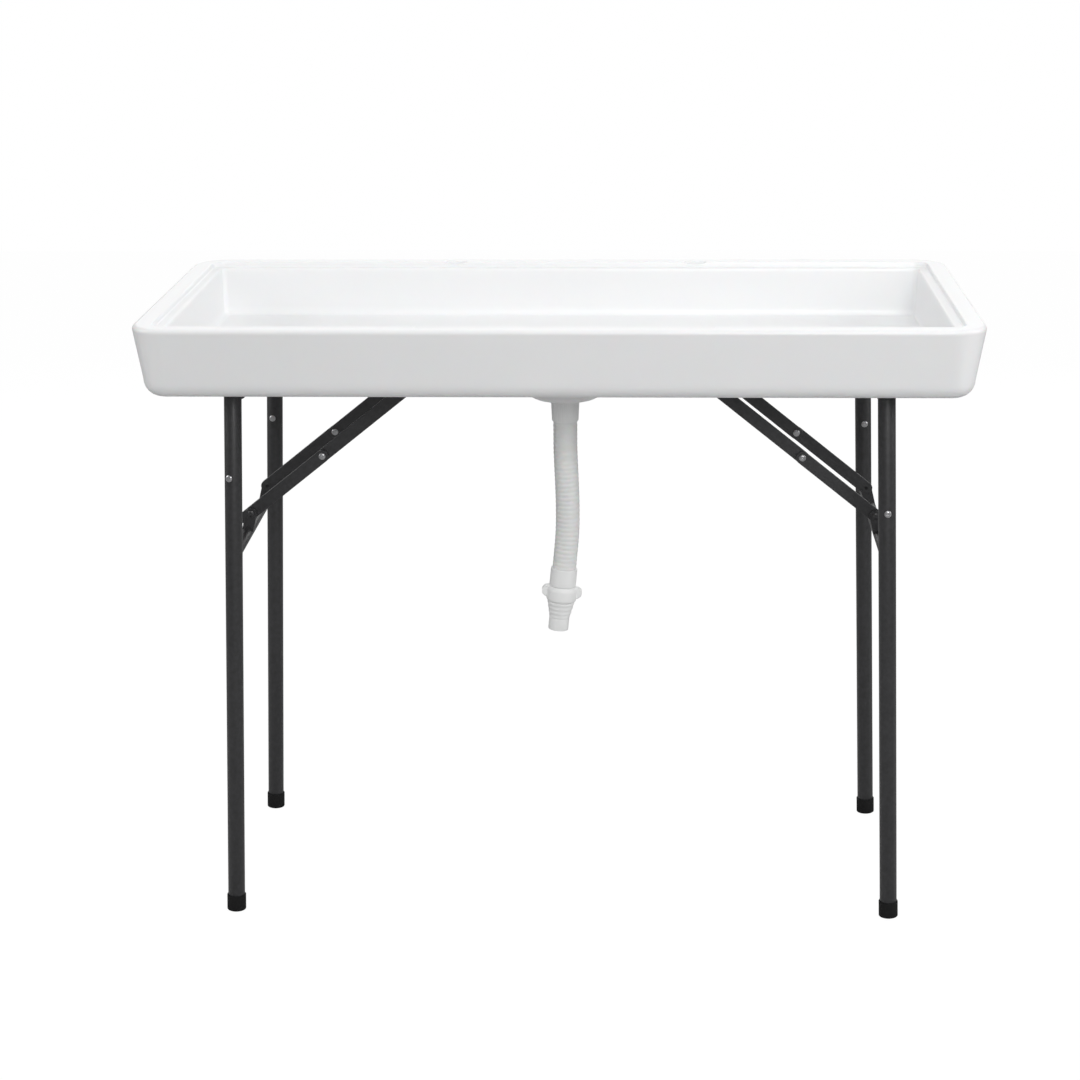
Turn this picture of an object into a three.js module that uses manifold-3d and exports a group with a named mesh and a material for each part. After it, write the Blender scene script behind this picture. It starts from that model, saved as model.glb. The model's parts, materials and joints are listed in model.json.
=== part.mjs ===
// An ice cooler table: a shallow white tub on two folding leg frames, with a drain hose below it.
// Millimetres, +Z up. The origin is on the ground, midway between the four feet.

import * as THREE from 'three';
import { mergeVertices } from 'three/addons/utils/BufferGeometryUtils.js';
import Module from 'manifold-3d';

const wasm = await Module();
wasm.setup();

// Overall sizes
const tableHeight = 914;
const tubLength = 1200;
const tubWidth = 600;
const tubDepth = 102;

// Tub: one moulding with a basin above and a recess for the folded legs below; insets run in from its edge
const basinDepth = 84;
const rimBandWidth = 28;
const rimEdgeRadius = 6;
const ledgeDrop = 8;
const ledgeWidth = 15;
const ledgeDraft = 1.5;
const outerDraft = 12.4;
const basinDraft = 2;
const skinThickness = 4;
const floorThickness = 5;
const tubCornerRadius = 50;
const basinCornerRadius = 8;
const bottomEdgeWidth = 21.6;
const bottomEdgeHeight = 25;
const floorEdgeRadius = 7;
const recessInset = 62;
const recessDraft = 2;
const padDepth = 4;
const padMargin = 5;

// Small notches moulded into the long rims, where a table skirt is clipped
const notchPlaces = [-180, 203];
const notchLength = 36;
const notchDepth = 4;

// Sump: a round bowl moulded into the floor, nearer the front; each ring is a radius and a height above its foot
const sumpPlace = { x: 5.7, y: -70 };
const sumpDepth = 46;
const sumpRings = [[32, 0], [46, 3], [54.5, 8], [60.5, 15], [65.5, 25], [70, 37], [72.6, 46], [74.5, 59]];

// Drain fitting in the sump
const tailRadius = 14.5;
const tailBoreRadius = 11.5;
const strainerRadius = 22;
const strainerThickness = 3;
const strainerHoleRadius = 2.6;
const strainerHoleCount = 6;
const gasketThickness = 2;
const drainNutRadius = 21;
const drainNutHeight = 33;
const drainNutRibCount = 20;
const drainNutRibDepth = 0.9;

// Drain hose, hanging free from the drain nut, and the fitting on its end
const hoseRadius = 18.1;
const hoseRibDepth = 0.8;
const hoseRibPitch = 7;
const hoseBoreRadius = 15.3;
const cuffRadius = 20;
const cuffLength = 28;
const collarRadius = 23;
const collarLength = 24;
const wingReach = 30.5;
const wingRadius = 9;
const wingThickness = 12;
const wingRise = 2.5;
const nozzleRingRadii = [20.4, 18.9, 17.4, 15.9];
const nozzleRingLength = 7;
const nozzleRingStep = 0.9;
const stubRadius = 15.3;
const stubLength = 17;
const nozzleBoreRadius = 11;

// Leg frames
const pivotInset = 131.4;
const legSpacing = 418;
const legSplay = THREE.MathUtils.degToRad(1.9);
const legRadius = 12.7;
const tubeWall = 1.2;
const footRadius = 14.3;
const footHeight = 24;
const footSole = 5;
const topBarRadius = 8;
const crossbarRadius = 8.8;
const crossbarDistance = 234;

// Hinge blocks that hold the top bars
const blockInset = 69;
const blockWidth = 26;
const blockWall = 3.5;
const blockFlangeLength = 64;
const blockFlangeThickness = 4;

// Braces: two folding arms for each frame, each of an upper and a lower link
const armSpacing = 159;
const linkWidth = 19.4;
const linkThickness = 3;
const anchorSpread = 382.6;
const footPivotOut = -6.3;
const footPivotDistance = 203;
const lowerLinkPast = { front: 12, rear: 0 };
const lugRadius = 8.5;
const anchorScrewOut = 10.5;
const anchorPlateThickness = 2;
const anchorPlateLength = 34;
const foldClearance = 1.4;

// Fasteners
const rivetRadius = 3.2;
const rivetHeadRadius = 5.2;
const rivetHeadHeight = 2.2;
const pinRadius = 4;
const screwRadius = 2.1;
const screwHeadRadius = 4.2;
const screwHeadHeight = 2.2;
const screwBite = 6;
const legRivetGrip = 5;

// How far below the pivot the rivet in each leg is, and how far it is turned round its leg
const legRivets = {
  left: { front: { drop: 114, turn: -0.35 }, rear: { drop: 121, turn: -0.15 } },
  right: { front: { drop: 163, turn: 0 }, rear: { drop: 128, turn: 0.1 } },
};

// Fits
const gap = 0.3;
const overrun = 6;
const cornerSteps = 5;
const roundSides = 20;
const smallSides = 14;

const rimTop = tableHeight;
const tubBottom = tableHeight - tubDepth;
const floorTop = tableHeight - basinDepth;
const underside = floorTop - floorThickness;
const padFace = underside - padDepth;
const sumpBottom = tubBottom - sumpDepth;
const blockSpacing = legSpacing - 2 * blockInset;

// Materials
const whitePlastic = new THREE.MeshStandardMaterial({ color: 0xf1f2f3, roughness: 0.42, metalness: 0 });
const pipePlastic = new THREE.MeshStandardMaterial({ color: 0xdfe1df, roughness: 0.5, metalness: 0 });
const hosePlastic = new THREE.MeshStandardMaterial({ color: 0xd9dbd8, roughness: 0.45, metalness: 0 });
const blackSteel = new THREE.MeshStandardMaterial({ color: 0x2c2c2e, roughness: 0.55, metalness: 0.2 });
const blackPlastic = new THREE.MeshStandardMaterial({ color: 0x1b1b1c, roughness: 0.6, metalness: 0 });
const rubber = new THREE.MeshStandardMaterial({ color: 0x141414, roughness: 0.8, metalness: 0 });
const zincSteel = new THREE.MeshStandardMaterial({ color: 0x9a9b9d, roughness: 0.35, metalness: 0.9 });

// Closed geometry to a solid and back, for joining and cutting
function solid(geometry) {
  const bare = geometry.clone();
  bare.deleteAttribute('normal');
  bare.deleteAttribute('uv');
  const merged = mergeVertices(bare.index ? bare : bare, 1e-4);
  return new wasm.Manifold(new wasm.Mesh({
    numProp: 3,
    vertProperties: new Float32Array(merged.attributes.position.array),
    triVerts: new Uint32Array(merged.index.array),
  }));
}

function geometryOf(body) {
  const mesh = body.getMesh();
  const geometry = new THREE.BufferGeometry();
  geometry.setAttribute('position', new THREE.BufferAttribute(new Float32Array(mesh.vertProperties), 3));
  geometry.setIndex(Array.from(mesh.triVerts));
  geometry.computeVertexNormals();
  return geometry;
}

const joined = (bodies) => bodies.reduce((sum, body) => sum.add(body));
const cut = (body, tools) => tools.reduce((rest, tool) => rest.subtract(tool), body);

const group = new THREE.Group();

function place(name, geometry, material, position = [0, 0, 0], turnY = 0) {
  const mesh = new THREE.Mesh(geometry, material);
  mesh.name = name;
  mesh.position.set(...position);
  mesh.rotation.y = turnY;
  group.add(mesh);
  return mesh;
}

// Points of a rounded rectangle, counter-clockwise
function roundedRing(halfX, halfY, radius) {
  const points = [];
  const corners = [[1, 1, 0], [-1, 1, 1], [-1, -1, 2], [1, -1, 3]];
  for (const [signX, signY, quarter] of corners) {
    for (let step = 0; step <= cornerSteps; step += 1) {
      const angle = (quarter + step / cornerSteps) * Math.PI / 2;
      points.push([
        signX * (halfX - radius) + radius * Math.cos(angle),
        signY * (halfY - radius) + radius * Math.sin(angle),
      ]);
    }
  }
  return points;
}

// A closed solid through rings of a rounded rectangle, each [inset from the tub's edge, height, corner radius]
function ringSolid(rings) {
  const positions = [];
  const index = [];
  for (const [inset, height, radius] of rings) {
    for (const [x, y] of roundedRing(tubLength / 2 - inset, tubWidth / 2 - inset, radius)) {
      positions.push(x, y, height);
    }
  }
  const count = 4 * (cornerSteps + 1);
  for (let ring = 0; ring < rings.length - 1; ring += 1) {
    for (let i = 0; i < count; i += 1) {
      const a = ring * count + i;
      const b = ring * count + (i + 1) % count;
      index.push(a, b, b + count, a, b + count, a + count);
    }
  }
  const top = (rings.length - 1) * count;
  for (let i = 1; i < count - 1; i += 1) {
    index.push(0, i + 1, i);
    index.push(top, top + i, top + i + 1);
  }
  const geometry = new THREE.BufferGeometry();
  geometry.setAttribute('position', new THREE.BufferAttribute(new Float32Array(positions), 3));
  geometry.setIndex(index);
  return solid(geometry);
}

// A turned solid round the Z axis from [radius, height] points given from the axis, bottom first
function turned(points, sides = roundSides) {
  return new THREE.LatheGeometry(points.map(([r, z]) => new THREE.Vector2(r, z)), sides)
    .rotateX(Math.PI / 2);
}

const disc = (radius, low, high, sides = roundSides) =>
  turned([[0, low], [radius, low], [radius, high], [0, high]], sides);

// A round bar along Y between two places, centred on x and z
function barAlongY(radius, low, high, x = 0, z = 0, sides = roundSides) {
  return new THREE.CylinderGeometry(radius, radius, high - low, sides)
    .translate(x, (low + high) / 2, z);
}

// A box between two corners
function block(low, high) {
  return new THREE.BoxGeometry(high[0] - low[0], high[1] - low[1], high[2] - low[2])
    .translate((low[0] + high[0]) / 2, (low[1] + high[1]) / 2, (low[2] + high[2]) / 2);
}

// Layout of the right frame and its braces, in the X and Z of the open table
const pivot = {
  x: tubLength / 2 - pivotInset,
  z: underside - 2 * foldClearance - linkWidth - crossbarRadius,
};
const alongLeg = (distance, outward = 0) => ({
  x: pivot.x + distance * Math.sin(legSplay) + outward * Math.cos(legSplay),
  z: pivot.z - distance * Math.cos(legSplay) + outward * Math.sin(legSplay),
});
const crossbarAt = alongLeg(crossbarDistance);
const footPivot = alongLeg(footPivotDistance, footPivotOut);
const anchor = {
  x: anchorSpread / 2,
  z: underside - foldClearance - linkWidth / 2,
};

// The knee lies where the upper link comes to rest level under the floor when the frame is folded flat
const foldedFoot = { x: pivot.x - footPivotDistance, z: pivot.z - footPivotOut };
const armLength = Math.hypot(footPivot.x - anchor.x, footPivot.z - anchor.z);
const runBack = anchor.x - foldedFoot.x;
const fall = anchor.z - foldedFoot.z;
const upperLength = (armLength ** 2 - runBack ** 2 - fall ** 2) / (2 * (armLength + runBack));
const lowerLength = armLength - upperLength;
const armAngle = Math.atan2(footPivot.z - anchor.z, footPivot.x - anchor.x);
const knee = {
  x: anchor.x + upperLength * Math.cos(armAngle),
  z: anchor.z + upperLength * Math.sin(armAngle),
};

// Planes of the links, measured out from the middle of the table
const upperLinkInner = armSpacing / 2 - linkThickness - gap / 2;
const upperLinkOuter = armSpacing / 2 - gap / 2;
const lowerLinkInner = armSpacing / 2 + gap / 2;
const lowerLinkOuter = armSpacing / 2 + linkThickness + gap / 2;
const lugOuter = upperLinkInner - gap;
const lugInner = lugOuter - linkThickness;
const barLugInner = lowerLinkOuter + gap;
const barLugOuter = barLugInner + linkThickness;

const sides = { left: -1, right: 1 };
const rows = { front: -1, rear: 1 };

// Screw places, shared by the tub, the hinge blocks and the brace anchors
const screwClearance = screwHeadRadius + gap;
const blockScrewOffset = blockFlangeLength / 2 - screwClearance - padMargin / 2;
const anchorScrewY = armSpacing / 4;
const screwPlaces = [];
for (const [side, signX] of Object.entries(sides)) {
  for (const [row, signY] of Object.entries(rows)) {
    for (const [end, signEnd] of [['inner', -1], ['outer', 1]]) {
      screwPlaces.push({
        name: `${side}_hinge_screw_${row}_${end}`,
        x: signX * (pivot.x + signEnd * blockScrewOffset),
        y: signY * blockSpacing / 2,
        seat: padFace - gap - blockFlangeThickness,
      });
    }
    screwPlaces.push({
      name: `${side}_anchor_screw_${row}`,
      x: signX * (anchor.x + anchorScrewOut),
      y: signY * anchorScrewY,
      seat: padFace - gap - anchorPlateThickness,
    });
  }
}

// Tub
function makeTub() {
  const cornerAt = (inset) => Math.max(tubCornerRadius - inset, basinCornerRadius);
  const arcSteps = 4;

  const outerRings = [];
  for (let step = 0; step <= arcSteps; step += 1) {
    const angle = (step / arcSteps) * Math.PI / 2;
    const inset = outerDraft + bottomEdgeWidth * (1 - Math.sin(angle));
    outerRings.push([inset, tubBottom + bottomEdgeHeight * (1 - Math.cos(angle)), cornerAt(inset)]);
  }
  for (let step = 0; step <= arcSteps; step += 1) {
    const angle = (step / arcSteps) * Math.PI / 2;
    const inset = rimEdgeRadius * (1 - Math.cos(angle));
    outerRings.push([inset, rimTop - rimEdgeRadius * (1 - Math.sin(angle)), cornerAt(inset)]);
  }

  const wallTop = rimBandWidth + ledgeWidth;
  const wallFoot = wallTop + basinDraft;
  const basinRings = [];
  for (let step = 0; step <= arcSteps; step += 1) {
    const angle = (step / arcSteps) * Math.PI / 2;
    const inset = wallFoot + floorEdgeRadius * (1 - Math.sin(angle));
    basinRings.push([inset, floorTop + floorEdgeRadius * (1 - Math.cos(angle)), basinCornerRadius]);
  }
  basinRings.push([wallTop, rimTop - ledgeDrop, basinCornerRadius]);
  basinRings.push([rimBandWidth + ledgeDraft, rimTop - ledgeDrop, cornerAt(rimBandWidth + ledgeDraft)]);
  basinRings.push([rimBandWidth, rimTop, cornerAt(rimBandWidth)]);
  basinRings.push([rimBandWidth, rimTop + overrun, cornerAt(rimBandWidth)]);

  const recessRings = [
    [recessInset, tubBottom - overrun, basinCornerRadius],
    [recessInset + recessDraft, underside, basinCornerRadius],
  ];

  const [mouthRadius, mouthHeight] = sumpRings[sumpRings.length - 1];
  const sumpAt = (geometry) => solid(geometry).translate(sumpPlace.x, sumpPlace.y, 0);
  const sumpOuter = sumpAt(turned([
    [0, sumpBottom],
    ...sumpRings.map(([radius, height]) => [radius, sumpBottom + height]),
    [mouthRadius, underside + floorThickness / 2],
    [0, underside + floorThickness / 2],
  ], roundSides));
  const sumpInner = sumpAt(turned([
    [0, sumpBottom + skinThickness],
    ...sumpRings.map(([radius, height]) => [radius - skinThickness, sumpBottom + skinThickness + height]),
    [mouthRadius, floorTop + overrun],
    [0, floorTop + overrun],
  ], roundSides));
  const drainHole = sumpAt(disc(tailRadius + gap, sumpBottom - overrun, sumpBottom + skinThickness + overrun));

  const shell = ringSolid(outerRings);
  const basin = ringSolid(basinRings);
  const recess = ringSolid(recessRings);

  const pads = [];
  for (const signX of Object.values(sides)) {
    for (const signY of Object.values(rows)) {
      const reach = blockFlangeLength / 2 + padMargin;
      const half = blockWidth / 2 + padMargin;
      const middle = signY * blockSpacing / 2;
      pads.push(solid(block(
        [signX * pivot.x - reach, middle - half, padFace],
        [signX * pivot.x + reach, middle + half, underside + floorThickness / 2],
      )));
    }
    const half = anchorPlateLength / 2;
    pads.push(solid(block(
      [signX * anchor.x - half, -lugInner, padFace],
      [signX * anchor.x + half, lugInner, underside + floorThickness / 2],
    )));
  }

  const cuts = [];
  for (const { x, y } of screwPlaces) {
    cuts.push(solid(disc(screwRadius + gap, padFace - overrun, padFace + screwBite + gap, smallSides)
      .translate(x, y, 0)));
  }
  for (const x of notchPlaces) {
    for (const signY of [-1, 1]) {
      const middle = signY * (tubWidth / 2 - rimBandWidth);
      cuts.push(solid(new THREE.CylinderGeometry(notchLength / 2, notchLength / 2, ledgeWidth, smallSides)
        .scale(1, 1, 2 * notchDepth / notchLength)
        .translate(x, middle, rimTop)));
    }
  }

  const walls = cut(shell, [basin, recess]);
  return cut(joined([walls, ...pads, sumpOuter]), [sumpInner, drainHole, ...cuts]);
}
place('tub', geometryOf(makeTub()), whitePlastic);

// Drain: gasket and strainer inside the sump, with the tail through the hole and the nut below
const gasketLow = sumpBottom + skinThickness + gap;
const strainerLow = gasketLow + gasketThickness + gap;
place('drain_gasket', turned([
  [tailRadius + gap, gasketLow],
  [strainerRadius - gap, gasketLow],
  [strainerRadius - gap, gasketLow + gasketThickness],
  [tailRadius + gap, gasketLow + gasketThickness],
  [tailRadius + gap, gasketLow],
]), rubber, [sumpPlace.x, sumpPlace.y, 0]);

const nutTop = sumpBottom - gap;
const nutBottom = nutTop - drainNutHeight;
const hoseMouth = nutBottom - gap;

function makeStrainer() {
  const flangeTop = strainerLow + strainerThickness;
  const tail = solid(turned([
    [0, strainerLow],
    [tailBoreRadius, strainerLow],
    [tailBoreRadius, nutBottom],
    [tailRadius, nutBottom],
    [tailRadius, strainerLow],
    [strainerRadius, strainerLow],
    [strainerRadius - strainerThickness / 3, flangeTop],
    [0, flangeTop],
  ]));
  const holes = [solid(disc(strainerHoleRadius, strainerLow - overrun, flangeTop + overrun, smallSides))];
  for (let i = 0; i < strainerHoleCount; i += 1) {
    const angle = (i / strainerHoleCount) * 2 * Math.PI;
    const reach = tailBoreRadius - strainerHoleRadius - gap;
    holes.push(solid(disc(strainerHoleRadius, strainerLow - overrun, flangeTop + overrun, smallSides)
      .translate(reach * Math.cos(angle), reach * Math.sin(angle), 0)));
  }
  return cut(tail, holes);
}
place('drain_strainer', geometryOf(makeStrainer()), pipePlastic, [sumpPlace.x, sumpPlace.y, 0]);

// A ribbed ring section, used for the grip of the drain nut
function ribbedRing(outer, bore, ribs, depth) {
  const shape = new THREE.Shape();
  for (let i = 0; i < 4 * ribs; i += 1) {
    const angle = (i / (4 * ribs)) * 2 * Math.PI;
    const radius = outer - (i % 4 < 2 ? 0 : depth);
    if (i === 0) shape.moveTo(radius * Math.cos(angle), radius * Math.sin(angle));
    else shape.lineTo(radius * Math.cos(angle), radius * Math.sin(angle));
  }
  shape.closePath();
  const hole = new THREE.Path();
  hole.absarc(0, 0, bore, 0, 2 * Math.PI, true);
  shape.holes.push(hole);
  return shape;
}
place('drain_nut', new THREE.ExtrudeGeometry(
  ribbedRing(drainNutRadius, tailRadius + gap, drainNutRibCount, drainNutRibDepth),
  { depth: drainNutHeight, bevelEnabled: false, curveSegments: roundSides },
), pipePlastic, [sumpPlace.x, sumpPlace.y, nutBottom]);

// Hose: its route hangs straight out of the nut and bows a little before the end fitting
// Each place is [x, y, z] from the mouth of the nut
const hoseRoute = [
  [0, 0, 0], [0, 0, -12], [0, 0, -24], [0, 0, -37], [0.3, 0, -50], [0.8, 0, -64], [1.4, 0, -78],
  [2.0, 0, -92], [2.5, 0, -106], [2.9, 0, -120], [3.1, 0, -134], [3.1, 0, -148], [2.9, 0, -160],
  [2.5, 0, -171], [1.9, 0, -181], [1.1, 0, -191], [0.1, 0, -202], [-1.1, 0, -214], [-2.5, 0, -228],
].map(([x, y, z]) => new THREE.Vector3(sumpPlace.x + x, sumpPlace.y + y, hoseMouth + z));
const hoseCurve = new THREE.CatmullRomCurve3(hoseRoute, false, 'centripetal');

// A rib is a crest ring and a valley ring; the bore has a ring at every fifth rib
function makeHose() {
  const ribs = Math.round(hoseCurve.getLength() / hoseRibPitch);
  const ringPoints = 8;
  const positions = [];
  const index = [];
  const across = new THREE.Vector3(0, 1, 0);
  function ring(share, radius) {
    const centre = hoseCurve.getPointAt(share);
    const heading = hoseCurve.getTangentAt(share);
    const side = across.clone().cross(heading).normalize();
    const other = heading.clone().cross(side);
    for (let i = 0; i < ringPoints; i += 1) {
      const angle = (i / ringPoints) * 2 * Math.PI;
      const point = centre.clone()
        .addScaledVector(side, radius * Math.cos(angle))
        .addScaledVector(other, radius * Math.sin(angle));
      positions.push(point.x, point.y, point.z);
    }
    return positions.length / 3 - ringPoints;
  }
  function skin(from, to) {
    for (let i = 0; i < ringPoints; i += 1) {
      const next = (i + 1) % ringPoints;
      index.push(from + i, from + next, to + next, from + i, to + next, to + i);
    }
  }
  const outer = [ring(0, hoseRadius)];
  for (let rib = 0; rib < ribs; rib += 1) {
    outer.push(ring((rib + 1 / 4) / ribs, hoseRadius));
    outer.push(ring((rib + 3 / 4) / ribs, hoseRadius - hoseRibDepth));
  }
  outer.push(ring(1, hoseRadius));
  const inner = [ring(1, hoseBoreRadius)];
  for (let rib = ribs - ribs % 5; rib > 0; rib -= 5) {
    if (rib < ribs) inner.push(ring(rib / ribs, hoseBoreRadius));
  }
  inner.push(ring(0, hoseBoreRadius));
  const loop = [...outer, ...inner, outer[0]];
  for (let i = 0; i < loop.length - 1; i += 1) skin(loop[i], loop[i + 1]);
  const geometry = new THREE.BufferGeometry();
  geometry.setAttribute('position', new THREE.BufferAttribute(new Float32Array(positions), 3));
  geometry.setIndex(index);
  geometry.computeVertexNormals();
  return geometry;
}
place('drain_hose', makeHose(), hosePlastic);

// End fitting: turned pieces in line with the end of the hose
const hoseEnd = hoseCurve.getPointAt(1);
const hoseHeading = hoseCurve.getTangentAt(1);
const endTurn = new THREE.Quaternion().setFromUnitVectors(new THREE.Vector3(0, 0, -1), hoseHeading);

function placeOnHose(name, geometry, material, start) {
  const mesh = place(name, geometry, material);
  mesh.position.copy(hoseEnd).addScaledVector(hoseHeading, start);
  mesh.quaternion.copy(endTurn);
}

const cuffStart = gap;
placeOnHose('hose_cuff', turned([
  [hoseBoreRadius, -cuffLength],
  [cuffRadius, -cuffLength],
  [cuffRadius, -gap * 4],
  [cuffRadius - gap * 4, 0],
  [hoseBoreRadius, 0],
  [hoseBoreRadius, -cuffLength],
]), pipePlastic, cuffStart);

const collarStart = cuffStart + cuffLength + gap;
function makeCollar() {
  const ring = solid(turned([
    [0, -collarLength],
    [collarRadius * 0.92, -collarLength],
    [collarRadius, -collarLength * 0.85],
    [collarRadius, -collarLength * 0.25],
    [collarRadius * 0.88, 0],
    [0, 0],
  ]));
  const wings = [-1, 1].map((sign) => solid(
    new THREE.CylinderGeometry(wingRadius, wingRadius, wingThickness, roundSides)
      .translate(sign * (wingReach - wingRadius), 0, wingRise - collarLength / 2)));
  const bore = solid(disc(hoseBoreRadius, -collarLength - overrun, overrun));
  return cut(joined([ring, ...wings]), [bore]);
}
placeOnHose('hose_collar', geometryOf(makeCollar()), pipePlastic, collarStart);

const spoutStart = collarStart + collarLength + gap;
function spoutProfile() {
  const points = [[nozzleBoreRadius, 0]];
  nozzleRingRadii.forEach((radius, step) => {
    points.unshift([radius, -step * nozzleRingLength]);
    points.unshift([radius, -(step + 1 / 2) * nozzleRingLength]);
    points.unshift([radius - nozzleRingStep, -(step + 3 / 4) * nozzleRingLength]);
  });
  const end = nozzleRingRadii.length * nozzleRingLength;
  points.unshift([stubRadius, -end]);
  points.unshift([stubRadius, -end - stubLength]);
  points.unshift([nozzleBoreRadius, -end - stubLength]);
  points.push(points[0]);
  return points;
}
placeOnHose('hose_spout', turned(spoutProfile()), pipePlastic, spoutStart);

// Leg frames, mirrored left and right
const legLength = pivot.z / Math.cos(legSplay);
const legTop = topBarRadius;
const legLow = legLength - footSole / Math.cos(legSplay) - gap;

// Turns a piece drawn straight down from the pivot into the splay of its leg
function splayed(geometry, signX) {
  return geometry.rotateY(-signX * legSplay).translate(signX * pivot.x, 0, pivot.z);
}

function legRivetPlace(side, row) {
  const { drop, turn } = legRivets[side][row];
  return { distance: drop / Math.cos(legSplay), turn };
}

function makeLeg(side, row) {
  const { distance, turn } = legRivetPlace(side, row);
  const tube = solid(disc(legRadius, -legLow, legTop));
  const bore = solid(disc(legRadius - tubeWall, -legLow - overrun, legTop + overrun));
  const hole = solid(barAlongY(rivetRadius + gap, -legRadius - overrun, 0, 0, 0, smallSides)
    .rotateZ(turn)
    .translate(0, 0, -distance));
  const leg = geometryOf(cut(tube, [bore, hole]));
  return splayed(leg, sides[side]).translate(0, rows[row] * legSpacing / 2, 0);
}

// A rivet with its head facing down the Z axis
function rivet(grip, headRadius = rivetHeadRadius, radius = rivetRadius) {
  return turned([
    [0, -rivetHeadHeight],
    [headRadius * 0.6, -rivetHeadHeight],
    [headRadius, -rivetHeadHeight * 0.35],
    [headRadius, 0],
    [radius, 0],
    [radius, grip],
    [0, grip],
  ], smallSides);
}

// A rivet along Y, with its head on the far side of the given face from the middle
const rivetAlongY = (grip, sign) => rivet(grip).rotateX(sign * Math.PI / 2);

function makeLegRivet(side, row) {
  const { distance, turn } = legRivetPlace(side, row);
  const geometry = rivet(legRivetGrip)
    .rotateX(-Math.PI / 2)
    .translate(0, -legRadius - gap, 0)
    .rotateZ(turn)
    .translate(0, 0, -distance);
  return splayed(geometry, sides[side]).translate(0, rows[row] * legSpacing / 2, 0);
}

function makeFoot(side, row) {
  const cap = splayed(disc(footRadius, -legLength - overrun, -legLength + footHeight), sides[side]);
  const bore = splayed(disc(legRadius + gap, -legLow - gap, -legLength + footHeight + overrun), sides[side]);
  const reach = tubLength;
  const ground = block([-reach, -tubWidth, -tubDepth], [reach, tubWidth, 0]);
  return geometryOf(cut(solid(cap), [solid(bore), solid(ground)]))
    .translate(0, rows[row] * legSpacing / 2, 0);
}

// A tube across the frame, its ends coped to the legs
function makeCrossTube(side, radius, at, extras = []) {
  const half = legSpacing / 2;
  const signX = sides[side];
  const tube = solid(barAlongY(radius, -half, half, signX * at.x, at.z));
  const bore = solid(barAlongY(radius - tubeWall, -half - overrun, half + overrun, signX * at.x, at.z));
  const legs = Object.values(rows).map((signY) =>
    solid(splayed(disc(legRadius + gap, -legLength, legRadius + overrun), signX).translate(0, signY * half, 0)));
  return cut(cut(joined([tube, ...extras]), [bore]), legs);
}

// A flat plate in the XZ plane with round ends, between two places, with holes
function linkPlate(from, to, halfWidth, low, high, holes, signX) {
  const along = Math.atan2(to.z - from.z, to.x - from.x);
  const shape = new THREE.Shape();
  shape.absarc(from.x, from.z, halfWidth, along + Math.PI / 2, along - Math.PI / 2, false);
  shape.absarc(to.x, to.z, halfWidth, along - Math.PI / 2, along + Math.PI / 2, false);
  shape.closePath();
  for (const { x, z, radius } of holes) {
    const hole = new THREE.Path();
    hole.absarc(x, z, radius, 0, 2 * Math.PI, true);
    shape.holes.push(hole);
  }
  const geometry = new THREE.ExtrudeGeometry(shape, {
    depth: high - low, bevelEnabled: false, curveSegments: smallSides / 2,
  });
  geometry.rotateX(Math.PI / 2).translate(0, high, 0);
  return signX < 0 ? mirroredX(geometry) : geometry;
}

function mirroredX(geometry) {
  const mirrored = geometry.index ? geometry.toNonIndexed() : geometry.clone();
  const position = mirrored.attributes.position;
  for (let i = 0; i < position.count; i += 3) {
    for (let corner = 0; corner < 3; corner += 1) position.setX(i + corner, -position.getX(i + corner));
    const [x, y, z] = [position.getX(i + 1), position.getY(i + 1), position.getZ(i + 1)];
    position.setXYZ(i + 1, position.getX(i + 2), position.getY(i + 2), position.getZ(i + 2));
    position.setXYZ(i + 2, x, y, z);
  }
  mirrored.computeVertexNormals();
  return mirrored;
}

// The Y range of a plate, from its inner and outer distance to the middle
const span = (signY, inner, outer) => (signY < 0 ? [-outer, -inner] : [inner, outer]);

const pivotHole = rivetRadius + gap;
for (const [side, signX] of Object.entries(sides)) {
  for (const row of Object.keys(rows)) {
    place(`${side}_leg_${row}`, makeLeg(side, row), blackSteel);
    place(`${side}_leg_rivet_${row}`, makeLegRivet(side, row), zincSteel);
    place(`${side}_foot_${row}`, makeFoot(side, row), rubber);
  }
  place(`${side}_top_bar`, geometryOf(makeCrossTube(side, topBarRadius, pivot)), blackSteel);

  const lugs = Object.values(rows).map((signY) => {
    const [low, high] = span(signY, barLugInner, barLugOuter);
    return solid(linkPlate(crossbarAt, footPivot, lugRadius, low, high,
      [{ ...footPivot, radius: pivotHole }], signX));
  });
  place(`${side}_crossbar`, geometryOf(makeCrossTube(side, crossbarRadius, crossbarAt, lugs)), blackSteel);
}

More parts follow.
